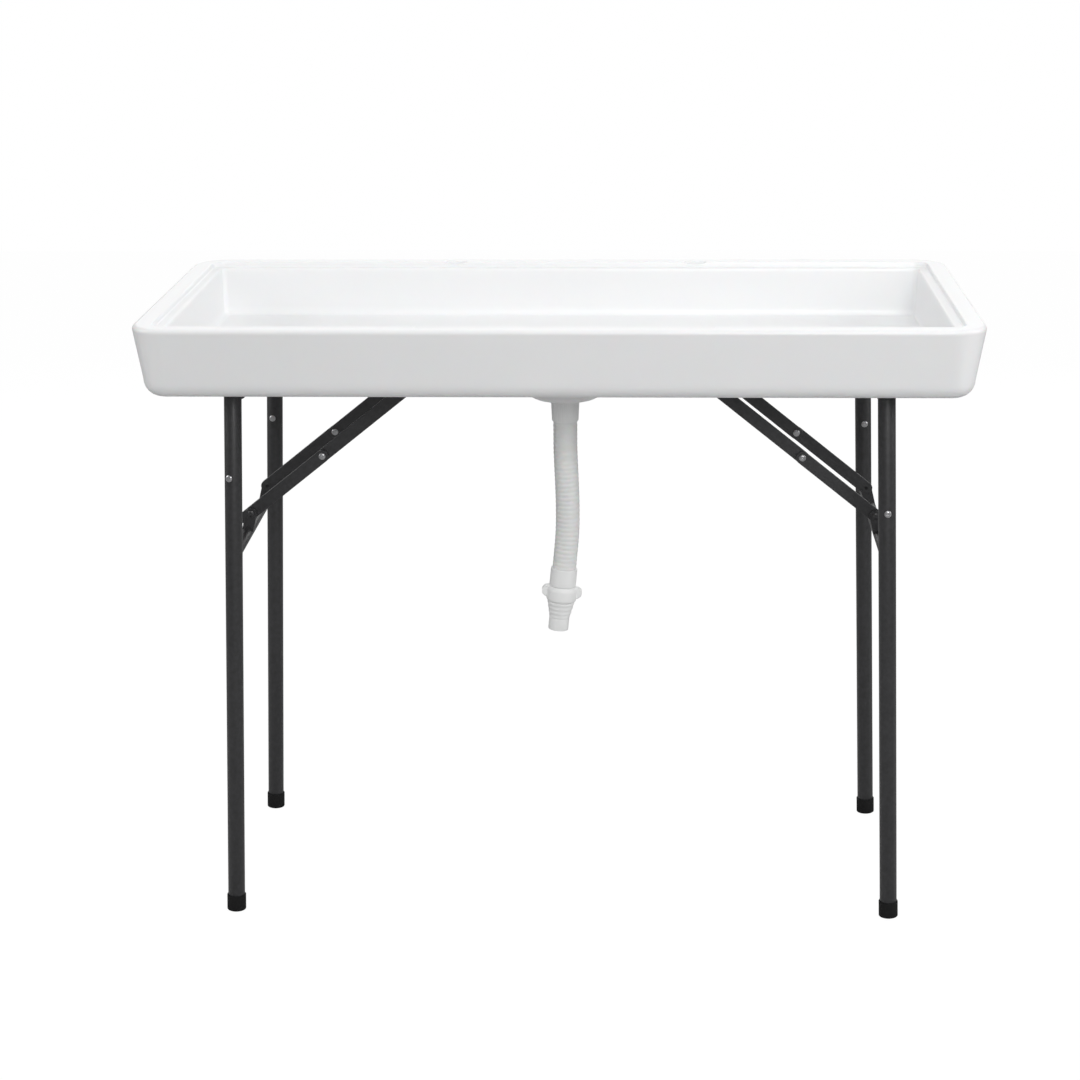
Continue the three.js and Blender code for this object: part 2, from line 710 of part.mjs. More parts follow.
// Hinge blocks: each holds a top bar in a bore, under a flange screwed to the pad in the recess
function makeHingeBlock() {
  const drop = padFace - gap - pivot.z;
  const round = topBarRadius + gap + blockWall;
  const shape = new THREE.Shape();
  const shoulder = round + blockWall;
  const flangeLow = drop - blockFlangeThickness;
  shape.moveTo(-blockFlangeLength / 2, drop);
  shape.lineTo(-blockFlangeLength / 2, flangeLow);
  shape.lineTo(-shoulder, flangeLow);
  shape.lineTo(-round, flangeLow - blockWall);
  shape.lineTo(-round, 0);
  shape.absarc(0, 0, round, Math.PI, 2 * Math.PI, false);
  shape.lineTo(round, flangeLow - blockWall);
  shape.lineTo(shoulder, flangeLow);
  shape.lineTo(blockFlangeLength / 2, flangeLow);
  shape.lineTo(blockFlangeLength / 2, drop);
  shape.closePath();
  const bore = new THREE.Path();
  bore.absarc(0, 0, topBarRadius + gap, 0, 2 * Math.PI, true);
  shape.holes.push(bore);
  const body = solid(new THREE.ExtrudeGeometry(shape, {
    depth: blockWidth, bevelEnabled: false, curveSegments: roundSides,
  }).rotateX(Math.PI / 2).translate(0, blockWidth / 2, 0));
  const holes = [-1, 1].map((sign) => solid(disc(screwRadius + gap, flangeLow - overrun, drop + overrun, smallSides)
    .translate(sign * blockScrewOffset, 0, 0)));
  return geometryOf(cut(body, holes));
}

// Brace anchors: a plate screwed under the floor, with a lug at each end for the arm's pin
function makeAnchor(signX) {
  const half = anchorPlateLength / 2;
  const top = padFace - gap;
  const plate = solid(block(
    [signX * anchor.x - half, -lugOuter, top - anchorPlateThickness],
    [signX * anchor.x + half, lugOuter, top],
  ));
  const lugs = Object.values(rows).map((signY) => {
    const [low, high] = span(signY, lugInner, lugOuter);
    const tip = { x: anchor.x, z: anchor.z };
    const root = { x: anchor.x, z: top - lugRadius };
    const ear = solid(linkPlate(root, tip, lugRadius, low, high, [], signX));
    const web = solid(block([signX * anchor.x - lugRadius, low, anchor.z],
      [signX * anchor.x + lugRadius, high, top]));
    return ear.add(web);
  });
  const bores = [solid(barAlongY(pinRadius + gap, -armSpacing, armSpacing, signX * anchor.x, anchor.z))];
  for (const signY of Object.values(rows)) {
    bores.push(solid(disc(screwRadius + gap, top - anchorPlateThickness - overrun, top + overrun, smallSides)
      .translate(signX * (anchor.x + anchorScrewOut), signY * anchorScrewY, 0)));
  }
  return geometryOf(cut(joined([plate, ...lugs]), bores));
}

// The pin through both lugs and both upper links, with a head at each end
function makeAnchorPin(signX) {
  const headLow = upperLinkOuter + gap;
  const headHigh = headLow + rivetHeadHeight;
  return turned([
    [0, -headHigh],
    [rivetHeadRadius + gap, -headHigh],
    [rivetHeadRadius + gap, -headLow],
    [pinRadius, -headLow],
    [pinRadius, headLow],
    [rivetHeadRadius + gap, headLow],
    [rivetHeadRadius + gap, headHigh],
    [0, headHigh],
  ], smallSides).rotateX(Math.PI / 2).translate(signX * anchor.x, 0, anchor.z);
}

function screw(seat) {
  return turned([
    [0, seat - gap - screwHeadHeight],
    [screwHeadRadius * 0.7, seat - gap - screwHeadHeight],
    [screwHeadRadius, seat - gap - screwHeadHeight * 0.4],
    [screwHeadRadius, seat - gap],
    [screwRadius, seat - gap],
    [screwRadius, padFace + screwBite],
    [0, padFace + screwBite],
  ], smallSides);
}

for (const { name, x, y, seat } of screwPlaces) {
  place(name, screw(seat), zincSteel, [x, y, 0]);
}

for (const [side, signX] of Object.entries(sides)) {
  place(`${side}_brace_anchor`, makeAnchor(signX), blackSteel);
  place(`${side}_anchor_pin`, makeAnchorPin(signX), zincSteel);
  for (const [row, signY] of Object.entries(rows)) {
    place(`${side}_hinge_block_${row}`, makeHingeBlock(), blackPlastic,
      [signX * pivot.x, signY * blockSpacing / 2, pivot.z]);

    // The knee is the open pivot: the rivet is held by the lower link and its tail end by the upper one
    const upper = linkPlate(anchor, knee, linkWidth / 2, ...span(signY, upperLinkInner, upperLinkOuter),
      [{ ...anchor, radius: pinRadius + gap }], signX);
    const tail = solid(barAlongY(rivetHeadRadius, ...span(signY, upperLinkInner - rivetHeadHeight, upperLinkOuter),
      signX * knee.x, knee.z, smallSides));
    place(`${side}_upper_link_${row}`, geometryOf(solid(upper).add(tail)), blackSteel);

    const lowerEnd = {
      x: footPivot.x + lowerLinkPast[row] * Math.cos(armAngle),
      z: footPivot.z + lowerLinkPast[row] * Math.sin(armAngle),
    };
    const lower = linkPlate(knee, lowerEnd, linkWidth / 2, ...span(signY, lowerLinkInner, lowerLinkOuter),
      [{ ...knee, radius: pivotHole }, { ...footPivot, radius: pivotHole }], signX);
    place(`${side}_lower_link_${row}`, lower, blackSteel);

    place(`${side}_knee_rivet_${row}`,
      rivetAlongY(linkThickness + gap, signY).translate(signX * knee.x,
        signY * (lowerLinkOuter + gap), knee.z), zincSteel);
    place(`${side}_foot_link_rivet_${row}`,
      rivetAlongY(2 * linkThickness + 2 * gap, signY).translate(signX * footPivot.x,
        signY * (barLugOuter + gap), footPivot.z), blackSteel);
  }
}

export default group;
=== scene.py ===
import json
import math

import bpy
from mathutils import Matrix, Vector


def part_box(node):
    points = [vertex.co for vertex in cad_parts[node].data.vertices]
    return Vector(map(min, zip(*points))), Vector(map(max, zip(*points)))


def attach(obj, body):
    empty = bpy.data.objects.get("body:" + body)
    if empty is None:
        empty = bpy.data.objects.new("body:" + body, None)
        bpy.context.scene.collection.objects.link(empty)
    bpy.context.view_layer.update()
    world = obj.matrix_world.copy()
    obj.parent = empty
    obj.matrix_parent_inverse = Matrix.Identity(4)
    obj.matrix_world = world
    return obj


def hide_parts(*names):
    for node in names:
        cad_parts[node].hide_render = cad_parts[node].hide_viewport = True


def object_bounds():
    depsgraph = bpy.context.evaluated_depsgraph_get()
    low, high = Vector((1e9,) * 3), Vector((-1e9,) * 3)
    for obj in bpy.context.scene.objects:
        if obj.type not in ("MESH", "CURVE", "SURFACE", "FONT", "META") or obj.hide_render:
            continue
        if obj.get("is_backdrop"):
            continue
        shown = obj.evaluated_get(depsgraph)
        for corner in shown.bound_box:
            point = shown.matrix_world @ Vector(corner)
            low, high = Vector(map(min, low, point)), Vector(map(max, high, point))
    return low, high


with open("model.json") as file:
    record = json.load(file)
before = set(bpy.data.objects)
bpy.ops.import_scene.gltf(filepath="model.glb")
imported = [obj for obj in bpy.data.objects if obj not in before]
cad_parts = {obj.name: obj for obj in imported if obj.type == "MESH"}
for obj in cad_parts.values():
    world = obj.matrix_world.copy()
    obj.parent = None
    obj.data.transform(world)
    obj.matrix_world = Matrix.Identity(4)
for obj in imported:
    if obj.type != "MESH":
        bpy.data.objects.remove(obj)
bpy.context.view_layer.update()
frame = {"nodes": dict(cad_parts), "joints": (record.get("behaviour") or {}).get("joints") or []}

# The photographer's camera stands in front of the table, a little to its right and above the rim,
# and looks down at it with a long lens.
MM = 0.001
camera_place = Vector((127, -3700, 1578)) * MM
camera_turn = math.radians(-2.53)
camera_dip = math.radians(15.84)
camera_roll = math.radians(-0.43)
camera_lens = 83.2
ahead = Vector((
    math.sin(camera_turn) * math.cos(camera_dip),
    math.cos(camera_turn) * math.cos(camera_dip),
    -math.sin(camera_dip),
))
level = Vector((math.cos(camera_turn), -math.sin(camera_turn), 0))
above = level.cross(ahead)
across = level * math.cos(camera_roll) + above * math.sin(camera_roll)
upright = above * math.cos(camera_roll) - level * math.sin(camera_roll)
camera = bpy.data.objects.new("camera", bpy.data.cameras.new("camera"))
bpy.context.scene.collection.objects.link(camera)
camera_axes = Matrix((across, upright, -ahead)).transposed().to_4x4()
camera.matrix_world = Matrix.Translation(camera_place) @ camera_axes
camera.data.lens = camera_lens
camera.data.sensor_width = 36
camera.data.clip_end = 50
bpy.context.scene.camera = camera
bpy.context.scene.view_settings.view_transform = "Standard"

# The drain hose is a soft, cloudy plastic tube with shallow ribs all the way down.
# It is pushed up into the drain nut and hangs free, with a slight bow towards the end fitting.


def box_of(node):
    """The lowest and the highest corner of a CAD piece, in millimetres."""
    return [[round(place / MM, 3) for place in corner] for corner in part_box(node)]


def middle_of(node):
    """The middle of a CAD piece, in millimetres."""
    return [(low + high) / 2 for low, high in zip(*box_of(node))]


def half_width(node):
    """Half of a CAD piece's width from front to rear, in millimetres."""
    low, high = box_of(node)
    return round((high[1] - low[1]) / 2, 3)


sump_x = middle_of("drain_gasket")[0] * MM
sump_y = middle_of("drain_gasket")[1] * MM
hose_mouth = box_of("drain_hose")[1][2] * MM
hose_radius = half_width("drain_hose") * MM
hose_bore = 15.3 * MM
rib_depth = 0.55 * MM
rib_pitch = 7 * MM
hose_route = [Vector((sump_x + x * MM, sump_y, hose_mouth + z * MM)) for x, z in [
    (0, 0), (0, -12), (0, -24), (0, -37), (0.3, -50), (0.8, -64), (1.4, -78),
    (2.0, -92), (2.5, -106), (2.9, -120), (3.1, -134), (3.1, -148), (2.9, -160),
    (2.5, -171), (1.9, -181), (1.1, -191), (0.1, -202), (-1.1, -214), (-2.5, -228),
]]


def smooth_line(points, steps):
    """A smooth line through the points, with so many steps between each two."""
    line = []
    last = len(points) - 1
    for i in range(last):
        before, here, there, after = (points[max(0, min(last, i + k))] for k in (-1, 0, 1, 2))
        for step in range(steps):
            t = step / steps
            line.append(0.5 * (
                2 * here + (there - before) * t
                + (2 * before - 5 * here + 4 * there - after) * t ** 2
                + (3 * here - before - 3 * there + after) * t ** 3
            ))
    line.append(points[last].copy())
    return line


def loft(name, rings, around=True):
    """A mesh skinned over rings of equal counts; with around, the last ring joins the first."""
    count = len(rings[0])
    faces = []
    for k in range(len(rings) if around else len(rings) - 1):
        low = k * count
        high = (k + 1) % len(rings) * count
        for i in range(count):
            j = (i + 1) % count
            faces.append((low + i, low + j, high + j, high + i))
    if not around:
        faces.append(tuple(range(count))[::-1])
        faces.append(tuple(range((len(rings) - 1) * count, len(rings) * count)))
    mesh = bpy.data.meshes.new(name)
    mesh.from_pydata([tuple(p) for ring in rings for p in ring], [], faces)
    mesh.update()
    piece = bpy.data.objects.new(name, mesh)
    bpy.context.scene.collection.objects.link(piece)
    return piece


def smooth(piece, angle=35):
    """Shades a piece smooth, with edges sharper than the angle left crisp."""
    piece.data.shade_smooth()
    piece.data.set_sharp_from_angle(angle=math.radians(angle))
    return piece


def ring_round(centre, heading, radius, count):
    """A ring of points round a line at centre, square to its heading."""
    side = Vector((0, 1, 0)).cross(heading).normalized()
    other = heading.cross(side)
    ring = []
    for i in range(count):
        angle = math.tau * i / count
        ring.append(centre + side * radius * math.cos(angle) + other * radius * math.sin(angle))
    return ring


def finish_of(name, colour, roughness, grain=900, bump=0.05, cloud=6, spread=0.04, metallic=0.0,
              **inputs):
    """A procedural finish: a base colour with faint clouds, and a fine grain in its surface and gloss."""
    gloss_swing = 0.12
    relief_height = 0.5 * MM
    made = bpy.data.materials.new(name)
    made.use_nodes = True
    nodes = made.node_tree.nodes
    links = made.node_tree.links
    skin = nodes["Principled BSDF"]
    place = nodes.new("ShaderNodeTexCoord")
    clouds = nodes.new("ShaderNodeTexNoise")
    clouds.inputs["Scale"].default_value = cloud
    clouds.inputs["Detail"].default_value = 4
    links.new(place.outputs["Object"], clouds.inputs["Vector"])
    shade = nodes.new("ShaderNodeMapRange")
    shade.inputs["To Min"].default_value = 1 - spread
    shade.inputs["To Max"].default_value = 1 + spread
    links.new(clouds.outputs["Fac"], shade.inputs["Value"])
    tint = nodes.new("ShaderNodeVectorMath")
    tint.operation = "SCALE"
    tint.inputs[0].default_value = colour
    links.new(shade.outputs["Result"], tint.inputs["Scale"])
    links.new(tint.outputs["Vector"], skin.inputs["Base Color"])
    fine = nodes.new("ShaderNodeTexNoise")
    fine.inputs["Scale"].default_value = grain
    fine.inputs["Detail"].default_value = 3
    links.new(place.outputs["Object"], fine.inputs["Vector"])
    gloss = nodes.new("ShaderNodeMapRange")
    gloss.inputs["To Min"].default_value = roughness * (1 - gloss_swing)
    gloss.inputs["To Max"].default_value = min(1, roughness * (1 + gloss_swing))
    links.new(fine.outputs["Fac"], gloss.inputs["Value"])
    links.new(gloss.outputs["Result"], skin.inputs["Roughness"])
    relief = nodes.new("ShaderNodeBump")
    relief.inputs["Strength"].default_value = bump
    relief.inputs["Distance"].default_value = relief_height
    links.new(fine.outputs["Fac"], relief.inputs["Height"])
    links.new(relief.outputs["Normal"], skin.inputs["Normal"])
    skin.inputs["Metallic"].default_value = metallic
    for key, value in inputs.items():
        skin.inputs[key.replace("_", " ")].default_value = value
    return made


def dress(piece, material, slot_name, body, *nodes):
    """Gives a piece its finish and body, in place of the named CAD pieces."""
    piece.data.materials.clear()
    piece.data.materials.append(material)
    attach(piece, body)
    if nodes:
        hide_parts(*nodes)
    return piece


hose_line = smooth_line(hose_route, steps=2)
hose_length = sum((b - a).length for a, b in zip(hose_line, hose_line[1:]))
rib_count = round(hose_length / rib_pitch)


def hose_point(share):
    """The place and heading on the hose's line at a share of its length."""
    left = share * hose_length
    for a, b in zip(hose_line, hose_line[1:]):
        step = (b - a).length
        if left <= step or b is hose_line[-1]:
            return a.lerp(b, min(left / step, 1)), (b - a).normalized()
        left -= step


ring_sides = 48
rings = []
steps_a_rib = 6
for k in range(rib_count * steps_a_rib + 1):
    centre, heading = hose_point(k / (rib_count * steps_a_rib))
    swell = 0.5 + 0.5 * math.cos(math.tau * (k % steps_a_rib) / steps_a_rib)
    rings.append(ring_round(centre, heading, hose_radius - rib_depth * (1 - swell), ring_sides))
for k in range(rib_count, -1, -1):
    centre, heading = hose_point(k / rib_count)
    rings.append(ring_round(centre, heading, hose_bore, ring_sides))
cloudy_plastic = finish_of("cloudy_hose_plastic", (0.81, 0.815, 0.805), 0.42, grain=420, bump=0.06,
                           cloud=14, spread=0.05, Subsurface_Weight=0.12, Subsurface_Scale=0.004)
hose = smooth(loft("hose", rings), angle=80)
dress(hose, cloudy_plastic, "hose_plastic", "tub", "drain_hose")

# The end fitting is moulded in stiff white plastic: a cuff over the hose, a collar with two wings to
# turn it by, and a tapered spout with ribs that grips the next hose.
fitting_heading = (hose_line[-1] - hose_line[-2]).normalized()
fitting_turn = Vector((0, 0, -1)).rotation_difference(fitting_heading).to_matrix().to_4x4()


def turned(name, profile, sides=56, place=Matrix.Identity(4), closed=True):
    """A piece turned round the Z axis from (radius, height) pairs, then put in place."""
    turns = [math.tau * i / sides for i in range(sides)]
    made = [
        [place @ Vector((radius * math.cos(turn), radius * math.sin(turn), height)) for turn in turns]
        for radius, height in profile
    ]
    return loft(name, made, closed)


def in_mm(pairs):
    """Pairs in millimetres as metres."""
    return [(a * MM, b * MM) for a, b in pairs]


def rounded(pairs, radius, steps=4):
    """A closed profile with its corners rounded, in the unit of the pairs."""
    most_of_edge = 0.45
    out = []
    count = len(pairs)
    for i in range(count):
        before, here, after = (Vector(pairs[(i + k) % count]) for k in (-1, 0, 1))
        to_before = before - here
        to_after = after - here
        trim = min(radius, to_before.length * most_of_edge, to_after.length * most_of_edge)
        start = here + to_before.normalized() * trim
        end = here + to_after.normalized() * trim
        for step in range(steps + 1):
            t = step / steps
            point = start * (1 - t) ** 2 + here * 2 * t * (1 - t) + end * t ** 2
            out.append((point.x, point.y))
    return out


def on_fitting(start):
    """The place along the end fitting, so many millimetres past the end of the hose."""
    return Matrix.Translation(hose_line[-1] + fitting_heading * start * MM) @ fitting_turn


pipe_plastic = finish_of("moulded_pipe_plastic", (0.88, 0.885, 0.88), 0.4, grain=700, bump=0.04,
                         cloud=20, spread=0.03)
fit_gap = 0.3
grip_bore = 15.3
cuff_radius = half_width("hose_cuff")
cuff_length = 28
cuff_edge = 1.2
cuff_profile = rounded([
    (grip_bore, -cuff_length), (cuff_radius, -cuff_length), (cuff_radius, -cuff_edge),
    (cuff_radius - cuff_edge, 0), (grip_bore, 0),
], cuff_edge)
cuff = smooth(turned("hose_cuff_body", in_mm(cuff_profile), place=on_fitting(fit_gap)))
dress(cuff, pipe_plastic, "pipe_plastic", "tub", "hose_cuff")

collar_radius = half_width("hose_collar")
collar_length = 24
collar_tail_radius = 21.2
collar_tail_length = 3.6
collar_neck_radius = 20.3
collar_neck_length = 6
collar_edge = 1.5
collar_start = fit_gap + cuff_length + fit_gap
collar_profile = rounded([
    (grip_bore, -collar_length), (collar_tail_radius, -collar_length),
    (collar_radius, collar_tail_length - collar_length), (collar_radius, -collar_neck_length),
    (collar_neck_radius, 0), (grip_bore, 0),
], collar_edge)
collar = turned("hose_collar_body", in_mm(collar_profile), place=on_fitting(collar_start))
axis_hole = 0.4
wing_radius = 9
wing_reach = 30.5
wing_half = 6
wing_drop = -9.5
wing_edge = 2
wing_profile = rounded([
    (axis_hole, -wing_half), (wing_radius, -wing_half), (wing_radius, wing_half), (axis_hole, wing_half),
], wing_edge)
for sign in (-1, 1):
    wing_middle = Vector((sign * (wing_reach - wing_radius), 0, wing_drop)) * MM
    wing_place = on_fitting(collar_start) @ Matrix.Translation(wing_middle) \
        @ Matrix.Rotation(math.pi / 2, 4, "X")
    wing = turned("wing", in_mm(wing_profile), place=wing_place)
    with bpy.context.temp_override(active_object=collar, selected_editable_objects=[collar, wing]):
        bpy.ops.object.join()
smooth(collar)
dress(collar, pipe_plastic, "pipe_plastic", "tub", "hose_collar")

spout_start = collar_start + collar_length + fit_gap
spout_bore = 11
spout_radius = half_width("hose_spout")
spout_ribs = 4
spout_taper = 1.5
spout_step = 7
spout_land_share = 0.5
spout_groove_share = 0.75
spout_groove = 0.9
spout_edge = 0.7
stub_radius = 15.3
stub_length = 17
spout_outline = [(spout_bore, 0)]
for k in range(spout_ribs):
    radius = spout_radius - k * spout_taper
    spout_outline.append((radius, -k * spout_step))
    spout_outline.append((radius, -(k + spout_land_share) * spout_step))
    spout_outline.append((radius - spout_groove, -(k + spout_groove_share) * spout_step))
stub_top = -spout_ribs * spout_step
stub_end = stub_top - stub_length
spout_outline += [(stub_radius, stub_top), (stub_radius, stub_end), (spout_bore, stub_end)]
spout_profile = rounded(spout_outline, spout_edge, steps=3)
spout = smooth(turned("hose_spout_body", in_mm(spout_profile), place=on_fitting(spout_start)))
dress(spout, pipe_plastic, "pipe_plastic", "tub", "hose_spout")

# The drain nut is a tall moulded ring with fine grip ribs, screwed up onto the strainer's tail
# below the sump. Its lower end is a little narrower.
nut_bottom, nut_top = (corner[2] * MM for corner in box_of("drain_nut"))
nut_radius = half_width("drain_nut") * MM
nut_taper = 1.2 * MM
nut_bore = 14.8 * MM
nut_lead = 1 * MM
nut_band = 4 * MM
nut_edge = 0.6 * MM
grip_ribs = 40
grip_depth = 0.45 * MM
sides_a_rib = 4
nut_sides = grip_ribs * sides_a_rib


def nut_ring(radius, height, depth):
    """One level of the nut, its edge waved by the grip ribs."""
    ring = []
    for i in range(nut_sides):
        angle = math.tau * i / nut_sides
        r = radius - depth * (0 if i % sides_a_rib < sides_a_rib / 2 else 1)
        ring.append(Vector((sump_x + r * math.cos(angle), sump_y + r * math.sin(angle), height)))
    return ring


nut_rings = [
    nut_ring(nut_bore, nut_bottom, 0),
    nut_ring(nut_radius - nut_taper - nut_lead, nut_bottom, 0),
    nut_ring(nut_radius - nut_taper, nut_bottom + nut_lead, grip_depth),
    nut_ring(nut_radius, nut_top - nut_band - nut_lead, grip_depth),
    nut_ring(nut_radius, nut_top - nut_band, 0),
    nut_ring(nut_radius, nut_top - nut_edge, 0),
    nut_ring(nut_radius - nut_edge, nut_top, 0),
    nut_ring(nut_bore, nut_top, 0),
]
nut = smooth(loft("drain_nut_body", nut_rings))
dress(nut, pipe_plastic, "pipe_plastic", "tub", "drain_nut")

# The drain inside the sump is a moulded strainer on a rubber gasket. Both are small lathe shapes,
# so the solids are shown as they are, with a soft edge.
soft_rubber = finish_of("black_gasket_rubber", (0.018, 0.018, 0.018), 0.75, grain=600, bump=0.1)


def show_solid(node, material, edge=0.4):
    """Shows a CAD piece itself, with soft edges and its finish."""
    piece = frame["nodes"][node]
    piece.data.materials.clear()
    piece.data.materials.append(material)
    if edge:
        bevel = piece.modifiers.new("edge", "BEVEL")
        bevel.width = edge * MM
        bevel.segments = 2
        bevel.limit_method = "ANGLE"
        bevel.angle_limit = math.radians(40)
    smooth(piece)
    return piece


show_solid("drain_gasket", soft_rubber, edge=0.3)
show_solid("drain_strainer", pipe_plastic, edge=0.3)

# The tub is one hollow moulding in white polyethylene: outer walls with a big rounding below, a flat
# rim with a step for a lid, a deep basin with a sump, and a recess below for the folded legs.
tub_half_x, tub_half_y, rim_top = box_of("tub")[1]
tub_corner = 50
basin_corner = 8
corner_steps = 15
floor_top = 830
recess_top = 825
skirt_low = 812
lower_edge_width = 21.6
lower_edge_height = 25
lower_edge_steps = 6
wall_foot = 12.4


def corner_ring(inset, height, corner):
    """A level of the tub in plan: a rectangle with round corners, as millimetres."""
    ring = []
    for quarter, (sx, sy) in enumerate([(1, 1), (-1, 1), (-1, -1), (1, -1)]):
        for step in range(corner_steps + 1):
            angle = (quarter + step / corner_steps) * math.pi / 2
            x = sx * (tub_half_x - inset - corner) + corner * math.cos(angle)
            y = sy * (tub_half_y - inset - corner) + corner * math.sin(angle)
            ring.append(Vector((x, y, height)) * MM)
    return ring


def sump_ring(radius, height):
    """A round level of the sump; each quarter of its points answers to a corner of the tub."""
    corners = [
        math.atan2(sy * tub_half_y * MM - sump_y, sx * tub_half_x * MM - sump_x) % math.tau
        for sx, sy in [(1, 1), (-1, 1), (-1, -1), (1, -1)]
    ]
    reach = radius * MM
    ring = []
    for quarter in range(4):
        start = (corners[quarter - 1] - (math.tau if quarter == 0 else 0) + corners[quarter]) / 2
        after = corners[(quarter + 1) % 4] + (math.tau if quarter == 3 else 0)
        end = (corners[quarter] + after) / 2
        for step in range(corner_steps + 1):
            angle = start + (end - start) * (step + 0.5) / (corner_steps + 1)
            x = sump_x + reach * math.cos(angle)
            y = sump_y + reach * math.sin(angle)
            ring.append(Vector((x, y, height * MM)))
    return ring


lower_edge = []
for k in range(lower_edge_steps + 1):
    turn = math.pi / 2 * k / lower_edge_steps
    lower_edge.append((wall_foot + lower_edge_width * (1 - math.sin(turn)),
                       skirt_low + lower_edge_height * (1 - math.cos(turn))))
# Each pair is how far in from the tub's outside a level lies, and its height.
wall_section = lower_edge + [
    (11.4, 843), (1.5, 900), (0.7, 905), (0, 908), (0.6, 910.6), (2.2, 912.9), (4.6, rim_top),
    (6.5, rim_top), (8, rim_top), (24.5, rim_top), (26, rim_top), (27.6, 913.6), (28.4, 912.5), (28.9, 910),
    (29.3, 907.3), (30.6, 906), (32, 906), (38.5, 906), (39.8, 906), (41.6, 905.4), (42.8, 903.8),
    (43.2, 901), (43.4, 896), (44.7, 846), (45, 840), (45.9, 835.6), (48, 832), (52, floor_top),
    (54, floor_top), (58, floor_top),
]
tub_rings = [corner_ring(d, z, max(tub_corner - d, basin_corner)) for d, z in wall_section]
# The sump bowl as radius and height, down its inside and back up its outside.
bowl = [
    (82, floor_top), (77.5, floor_top), (74, 829.4), (71.7, 827.6), (70.5, 824.5), (69, 816.5),
    (66.3, 806.5), (61.7, 795.5), (56.7, 786), (50.2, 778.2), (42, 773.3), (34, 771), (28, 770), (20, 770),
    (14.8, 770), (14.8, 766), (26, 766), (32, 766.1), (39.5, 767.3), (46, 769.2), (51.3, 771.8),
    (56.5, 775.6), (60.5, 780.6), (64, 787), (67.8, 796), (70.8, 805), (72.4, 812), (73.4, 817.5),
    (74.6, 822.5), (77.5, recess_top), (82, recess_top),
]
tub_rings += [sump_ring(r, z) for r, z in bowl]
recess_section = [
    (70, recess_top), (67, recess_top), (65, 824.4), (63.8, 822.5), (62.2, 814.5), (60.5, 812.6),
    (58, skirt_low),
]
tub_rings += [corner_ring(d, z, basin_corner) for d, z in recess_section]
tub = loft("tub_moulding", tub_rings)


def carve(piece, name, tool):
    """Cuts the tool's shape out of a piece."""
    step = piece.modifiers.new(name, "BOOLEAN")
    step.operation = "DIFFERENCE"
    step.solver = "EXACT"
    step.object = tool
    with bpy.context.temp_override(object=piece, active_object=piece):
        bpy.ops.object.modifier_apply(modifier=step.name)
    bpy.data.objects.remove(tool)


notch_y = 272
notch_half = 18
notch_depth = 4
notch_reach = 7.5
notch_axis = 0.2
notch_sides = 40
notch_places = (-180, 203)
notch_profile = in_mm([
    (notch_axis, -notch_reach), (notch_half, -notch_reach), (notch_half, notch_reach),
    (notch_axis, notch_reach),
])
for notch_x in notch_places:
    for sign_y in (-1, 1):
        notch_place = Matrix.Translation(Vector((notch_x, sign_y * notch_y, rim_top)) * MM)
        notch_shape = notch_place @ Matrix.Diagonal((1, 1, notch_depth / notch_half, 1)) \
            @ Matrix.Rotation(math.pi / 2, 4, "X")
        cutter = turned("notch", notch_profile, sides=notch_sides, place=notch_shape, closed=False)
        carve(tub, "notch", cutter)
smooth(tub, angle=32)
white_polyethylene = finish_of("white_polyethylene", (0.84, 0.845, 0.85), 0.36, grain=260, bump=0.05,
                               cloud=5, spread=0.012, Subsurface_Weight=0.06, Subsurface_Scale=0.01)
dress(tub, white_polyethylene, "white_plastic", "tub", "tub")

# Pads stand proud under the basin floor, where the moulding is thicker. They take the screws of the
# hinge blocks and of the brace anchors.
pad_low = 821
pad_root = 2
pad_high = recess_top + pad_root
pad_edge = 1.2
block_y = middle_of("right_hinge_block_rear")[1]
hinge_pad_half = (37, 18)
anchor_pad_half = (17, 72.7)


def joint_place(name):
    """The X and Z of a joint of the right frame, in millimetres."""
    place = next(joint["pos_m"] for joint in frame["joints"] if joint["name"] == name)
    return round(place[0] / MM, 3), round(place[2] / MM, 3)


pivot_x, pivot_z = joint_place("right_leg_fold")
anchor_x, anchor_z = joint_place("right_upper_link_swing")


def soft_box(name, low, high, edge):
    """A box between two corners in millimetres, with softened edges."""
    bpy.ops.mesh.primitive_cube_add(size=1)
    piece = bpy.context.object
    piece.name = name
    piece.data.name = name
    low = Vector(low) * MM
    high = Vector(high) * MM
    piece.data.transform(Matrix.Translation((low + high) / 2) @ Matrix.Diagonal((*(high - low), 1)))
    bevel = piece.modifiers.new("edge", "BEVEL")
    bevel.width = edge * MM
    bevel.segments = 3
    return smooth(piece)


def mounting_pad(name, x, y, half):
    """A pad under the basin floor, so far to each side of its middle along X and Y."""
    pad = soft_box(name, (x - half[0], y - half[1], pad_low), (x + half[0], y + half[1], pad_high), pad_edge)
    dress(pad, white_polyethylene, "white_plastic", "tub")


for side, sx in (("left", -1), ("right", 1)):
    for row, sy in (("front", -1), ("rear", 1)):
        mounting_pad(f"{side}_hinge_pad_{row}", sx * pivot_x, sy * block_y, hinge_pad_half)
    mounting_pad(f"{side}_anchor_pad", sx * anchor_x, 0, anchor_pad_half)

